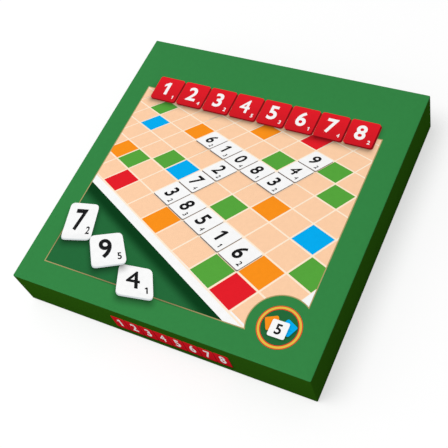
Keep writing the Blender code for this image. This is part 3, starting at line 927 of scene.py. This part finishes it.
def board_look(printed_up):
    """Playing board: dark grained paper on its back and the printed squares on its face."""
    look = Look("board_print_" + ("up" if printed_up else "down"), srgb(24, 84, 50), 0.5)
    back = look.mix(look.clouds(200, detail=4), srgb(20, 78, 46), srgb(30, 92, 56))
    size = BOARD_SIDE / 7.5  # of a square: 15 of them across the open board

    def lines(axis, middle):
        """1 on the lines between squares along one axis, 0 in the squares."""
        place = look.math("DIVIDE", look.math("SUBTRACT", look.axis(axis), middle), size)
        edge = look.math("PINGPONG", look.math("ADD", place, 0.5), 0.5)
        return look.spread(edge, 0.018, 0.032, 1, 0)

    either = look.math("MAXIMUM", lines("X", BOARD_MIDDLE[0]), lines("Y", BOARD_MIDDLE[1]))
    check = look.add("ShaderNodeTexChecker")
    look.feed(check.inputs["Vector"], look.where())
    check.inputs["Scale"].default_value = 1 / size
    face = look.mix(look.math("MULTIPLY", check.outputs["Fac"], 0.35), srgb(252, 206, 168), srgb(238, 178, 120))
    face = look.mix(either, face, srgb(255, 240, 224))
    level = look.axis("Z", look.add("ShaderNodeNewGeometry").outputs["Normal"])
    if not printed_up:
        level = look.math("MULTIPLY", level, -1.0)
    look.colour(look.mix(look.spread(level, 0.5, 0.6), back, face))
    grain = look.cells(700)
    look.bump(grain, 0.00005, 0.5)
    look.rough(look.spread(grain, 0.0, 0.8, 0.42, 0.58))
    return look.material


def rules_look():
    """Rules sheet: thin paper with plain grey bars where the text blocks are, and a green heading bar."""
    look = Look("rules_paper", srgb(240, 238, 232), 0.6)
    turn = look.add("ShaderNodeMapping", vector_type="TEXTURE")
    look.feed(turn.inputs["Vector"], look.where())
    turn.inputs["Location"].default_value = (*BOARD_MIDDLE, 0)
    turn.inputs["Rotation"].default_value = (0, 0, math.radians(8))
    across = look.axis("X", turn.outputs["Vector"])
    along = look.axis("Y", turn.outputs["Vector"])
    bars = look.spread(look.math("PINGPONG", look.math("MULTIPLY", along, 1 / 0.0032), 1.0), 0.45, 0.6)
    columns = look.strip(look.math("ABSOLUTE", across), 0.0235, 0.019)
    block = look.strip(along, -0.012, 0.05)
    heading = look.math("MULTIPLY", look.strip(along, 0.054, 0.006), look.strip(across, 0, 0.042))
    grey = look.math("MULTIPLY", look.math("MULTIPLY", bars, columns), block)
    grey = look.math("MULTIPLY", grey, 0.55)
    paper = look.mix(look.clouds(140, detail=4), srgb(242, 240, 234), srgb(233, 230, 222))
    look.colour(look.mix(heading, look.mix(grey, paper, srgb(90, 92, 96)), srgb(70, 140, 84)))
    look.bump(look.noise(900, 3, 0.6), 0.00003, 0.4)
    return look.material


def dress(names, material):
    """Gives CAD nodes a material."""
    for name in names:
        node = NODES[name]
        node.data.materials.clear()
        node.data.materials.append(material)


# ---------------------------------------------------------------- floor, light and camera
FLOOR = 6.0  # half the floor's side
FLOOR_GLOW = (0.4, 2.0, 0.58, 0.80)  # distances in metres, and the glow at each, as the lamp's light falls off
ROOM_LIGHT = 0.52  # strength of the room's soft light
ROOM_SLANT = (-0.30, -0.16, 0)  # the room is lighter on its left and front sides
KEY_PLACE = (-0.49, -0.50, 2.1)
KEY_SIZE = 1.26
KEY_POWER = 25.3
AZIMUTH, ELEVATION, ROLL = math.radians(44.156), math.radians(56.024), math.radians(-22.576)  # of the camera
LOOKED_AT = (0.007, -0.0229, 0.02)
CAMERA_AWAY = 0.7098
LENS = 67.26


def make_floor():
    """Plain floor, which glows for rays that see it so that it is white, and keeps the box's shadow."""
    bm = bmesh.new()
    bm.faces.new([bm.verts.new((x, y, 0)) for x, y in box_outline(-FLOOR, -FLOOR, FLOOR, FLOOR)])
    look = Look("floor", (0.80, 0.80, 0.80), 0.9)
    look.set(Specular_IOR_Level=0.0, Emission_Color=(1, 1, 1, 1))
    seen = look.seen()
    look.colour(look.mix(seen, (0.5, 0.5, 0.5), (0.45, 0.45, 0.45)))
    away = look.add("ShaderNodeVectorMath", operation="LENGTH")
    look.feed(away.inputs[0], look.where())
    glow = look.spread(away.outputs["Value"], *FLOOR_GLOW)
    look.feed(look.shader.inputs["Emission Strength"], look.math("MULTIPLY", seen, glow))
    floor = to_object(bm, "floor", [look.material])


def make_world():
    """White world, whose soft light is weaker than its looks and comes more from one side."""
    world = bpy.data.worlds.new("studio")
    bpy.context.scene.world = world
    world.use_nodes = True
    room = Nodes(world.node_tree)
    towards = room.add("ShaderNodeVectorMath", operation="DOT_PRODUCT")
    room.feed(towards.inputs[0], room.add("ShaderNodeTexCoord").outputs["Generated"])
    towards.inputs[1].default_value = ROOM_SLANT
    lit = room.math("MULTIPLY", room.math("ADD", towards.outputs["Value"], 1.0), ROOM_LIGHT)
    back = room.tree.nodes["Background"]
    back.inputs["Color"].default_value = (1, 1, 1, 1)
    room.feed(back.inputs["Strength"], room.spread(room.seen(), 0, 1, lit, 1.0))


def make_key_lamp():
    """Soft lamp above the front left, aimed at the box."""
    data = bpy.data.lights.new("key", "AREA")
    data.shape = "DISK"
    data.size = KEY_SIZE
    data.energy = KEY_POWER
    light = link("key", data)
    light.location = KEY_PLACE
    light.rotation_mode = "QUATERNION"
    light.rotation_quaternion = (-Vector(KEY_PLACE)).to_track_quat("-Z", "Y")


def make_camera():
    """Camera fitted to the corners of the lid in the photograph."""
    back = Vector((math.sin(AZIMUTH) * math.cos(ELEVATION), -math.cos(AZIMUTH) * math.cos(ELEVATION),
                   math.sin(ELEVATION)))
    side = Vector((0, 0, 1)).cross(back).normalized()
    up = back.cross(side)
    turned_side = side * math.cos(ROLL) + up * math.sin(ROLL)
    turned_up = back.cross(turned_side)
    data = bpy.data.cameras.new("camera")
    data.sensor_width = 36
    data.lens = LENS
    camera = link("camera", data)
    matrix = Matrix((turned_side, turned_up, back)).transposed().to_4x4()
    matrix.translation = Vector(LOOKED_AT) + back * CAMERA_AWAY
    camera.matrix_world = matrix
    bpy.context.scene.camera = camera


# ---------------------------------------------------------------- pieces
lid_wrap = make_lid_wrap([print_look("lid_print", 0.03, False), print_look("lid_print_side", 0.0, True)])
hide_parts("lid_wrap")
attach(lid_wrap, "lid")

stacks = sorted(name for name in NODES if name.startswith("tile_stack_"))
racks = sorted(name for name in NODES if name.startswith("rack_"))
dress(["lid_board", "tray_board"], greyboard_look())
dress(["tray_wrap", "tray_base_sheet"], paper_look("pale_paper", srgb(226, 226, 222), srgb(219, 218, 212)))
dress(["insert"], formed_look())
dress(racks, moulded_look("rack_plastic", srgb(34, 108, 50), 0.3, 0.42, 1500))
dress(stacks, moulded_look("tile_plastic", srgb(240, 237, 226), 0.26, 0.4, 1800))
dress(["board_panel_1", "board_panel_3"], board_look(True))
dress(["board_panel_2", "board_panel_4"], board_look(False))
dress(["board_hinge_1", "board_hinge_2", "board_hinge_3"], tape_look())
dress(["rules_sheet"], rules_look())
tile_numerals(stacks)

make_floor()
make_world()
make_key_lamp()
make_camera()
bpy.context.scene.view_settings.view_transform = "Standard"
